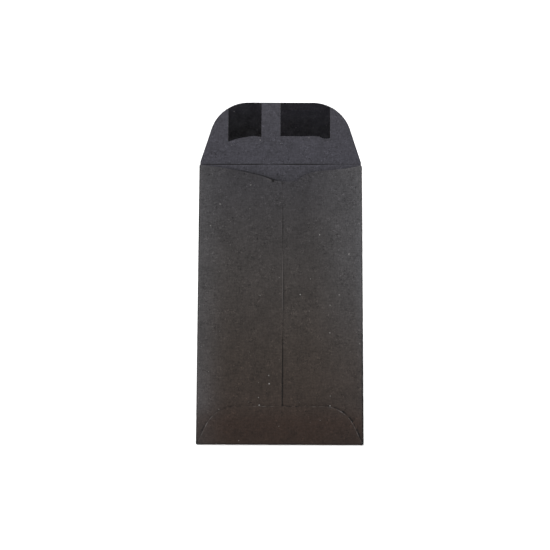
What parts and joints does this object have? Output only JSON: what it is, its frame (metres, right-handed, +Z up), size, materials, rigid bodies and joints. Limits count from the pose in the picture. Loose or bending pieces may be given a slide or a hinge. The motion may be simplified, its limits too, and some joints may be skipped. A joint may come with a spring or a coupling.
{
  "type": "coin envelope",
  "caption": "Small open-end paper envelope with a centre seam, a glued bottom flap, a curved throat and a gummed seal flap that folds over the mouth.",
  "frame": {"origin": "centre of the front panel's outer face, which lies on the table", "axes": "+X across the width, +Y along the length towards the seal flap, +Z up through the thickness, from the front panel to the seam side"},
  "size_m": [0.0634, 0.133, 0.0012],
  "materials": {
    "paper_outside": "uncoated black text paper with a fine linen tooth, matt",
    "paper_inside": "inner side of the same sheet, matt, a little bluer",
    "dried_gum": "dried remoistenable gum, dark and glossy over the black paper",
    "adhesive": "dried dextrin or PVA adhesive film, translucent, matt"
  },
  "bodies": {
    "pocket": {"front_panel": "paper_outside", "left_side_fold": "paper_outside", "right_side_fold": "paper_outside", "left_back_panel": "paper_outside", "right_back_panel": "paper_outside", "seam_glue": "adhesive", "bottom_fold": "paper_outside", "bottom_flap": "paper_outside", "bottom_flap_glue_left": "adhesive", "bottom_flap_glue_right": "adhesive", "flap_crease": "paper_inside"},
    "flap": {"seal_flap": "paper_inside", "gum_patch_left": "dried_gum", "gum_patch_right": "dried_gum"}
  },
  "joints": [
    {"name": "flap_fold", "type": "hinge", "parent": "pocket", "child": "flap", "pos_m": [0, 0.05398, 0.0008], "axis": [1, 0, 0], "range_deg": [0, 179], "deforming": ["flap_crease"]}
  ]
}
